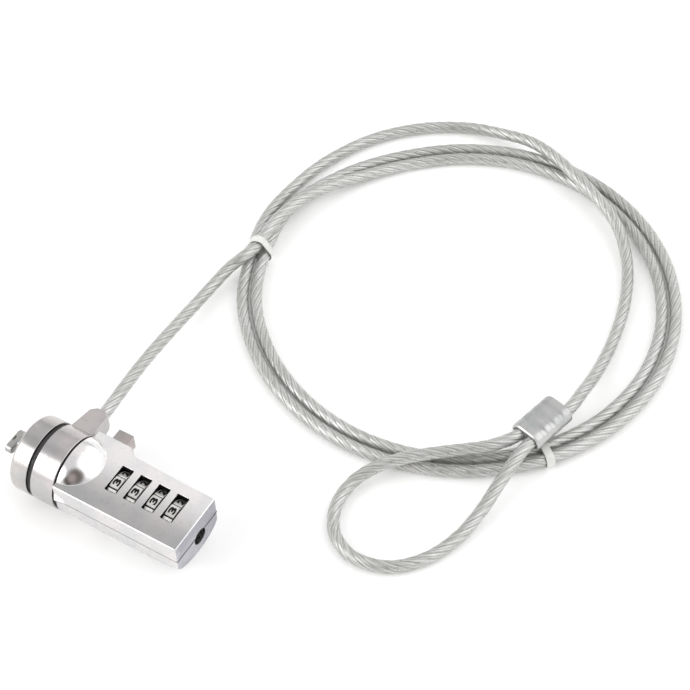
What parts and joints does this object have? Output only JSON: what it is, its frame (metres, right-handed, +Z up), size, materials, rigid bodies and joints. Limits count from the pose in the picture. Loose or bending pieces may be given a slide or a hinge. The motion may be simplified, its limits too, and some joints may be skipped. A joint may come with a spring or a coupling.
{
  "type": "laptop cable lock",
  "caption": "Combination cable lock for a laptop: metal head with number dials, push button and T-bar, a swivel lug, and a coiled coated wire rope that ends in a crimped eye.",
  "frame": {"origin": "centre of the lock head's box in X and Y, on the surface that the lock and its coiled cable lie on", "axes": "+X from the T-bar along the lock to the reset hole, +Y to the side of the cable lug and the button, +Z up through the dial windows"},
  "size_m": [0.1426, 0.1926, 0.022],
  "materials": {
    "satin_metal": "satin nickel plate",
    "steel": "bright",
    "brass": "machined",
    "black_nylon": "moulded",
    "coated_rope": "stranded wire rope under a clear coat",
    "white_tie": "moulded"
  },
  "bodies": {
    "cable_assembly": {"swivel_ring": "satin_metal", "cable": "coated_rope", "crimp_ferrule": "steel", "tie_1": "white_tie", "tie_2": "white_tie", "cable_stop": "steel"},
    "case": {"upper_case": "satin_metal", "lower_case": "satin_metal", "end_cap": "satin_metal", "hub": "steel", "front_washer": "black_nylon", "rear_washer": "black_nylon", "slot_guide": "steel", "divider_1": "black_nylon", "divider_2": "black_nylon", "divider_3": "black_nylon", "click_spring": "steel", "case_screw_1": "steel", "case_screw_2": "steel", "case_screw_3": "steel", "spindle_spring": "steel", "button_spring": "steel"},
    "button": {"release_button": "satin_metal"},
    "t_bar": {"t_bar": "steel", "pinion": "brass", "retaining_clip": "steel"},
    "spindle": {"spindle": "steel"},
    "reset": {"reset_screw": "steel"},
    "dial_1_body": {"dial_1": "steel", "clutch_sleeve_1": "brass"},
    "dial_2_body": {"dial_2": "steel", "clutch_sleeve_2": "brass"},
    "dial_3_body": {"dial_3": "steel", "clutch_sleeve_3": "brass"},
    "dial_4_body": {"dial_4": "steel", "clutch_sleeve_4": "brass"}
  },
  "joints": [
    {"name": "case_swivel", "type": "hinge", "parent": "cable_assembly", "child": "case", "pos_m": [-0.0088, -0.00325, 0.011], "axis": [1, 0, 0], "continuous": true},
    {"name": "button_slide", "type": "slide", "parent": "case", "child": "button", "axis": [0, -1, 0], "range_m": [0, 0.00361], "stiffness_N_per_m": 300, "springref_m": -0.003, "deforming": ["button_spring"]},
    {"name": "t_bar_turn", "type": "hinge", "parent": "case", "child": "t_bar", "pos_m": [-0.0088, -0.00325, 0.011], "axis": [1, 0, 0], "range_deg": [0, 90.01]},
    {"name": "spindle_slide", "type": "slide", "parent": "case", "child": "spindle", "axis": [1, 0, 0], "range_m": [0, 0.000904], "deforming": ["spindle_spring"]},
    {"name": "dial_1_turn", "type": "hinge", "parent": "case", "child": "dial_1_body", "pos_m": [0.0055, -0.00325, 0.011], "axis": [1, 0, 0], "continuous": true},
    {"name": "dial_2_turn", "type": "hinge", "parent": "case", "child": "dial_2_body", "pos_m": [0.0114, -0.00325, 0.011], "axis": [1, 0, 0], "continuous": true},
    {"name": "dial_3_turn", "type": "hinge", "parent": "case", "child": "dial_3_body", "pos_m": [0.0173, -0.00325, 0.011], "axis": [1, 0, 0], "continuous": true},
    {"name": "dial_4_turn", "type": "hinge", "parent": "case", "child": "dial_4_body", "pos_m": [0.0232, -0.00325, 0.011], "axis": [1, 0, 0], "continuous": true},
    {"name": "reset_turn", "type": "hinge", "parent": "case", "child": "reset", "pos_m": [0.0281, -0.00325, 0.011], "axis": [1, 0, 0], "range_deg": [0, 90]}
  ],
  "couplings": [
    {"joint": "t_bar_turn", "follows": "button_slide", "rad_per_m": 434.78},
    {"joint": "spindle_slide", "follows": "button_slide", "ratio": 0.25}
  ]
}
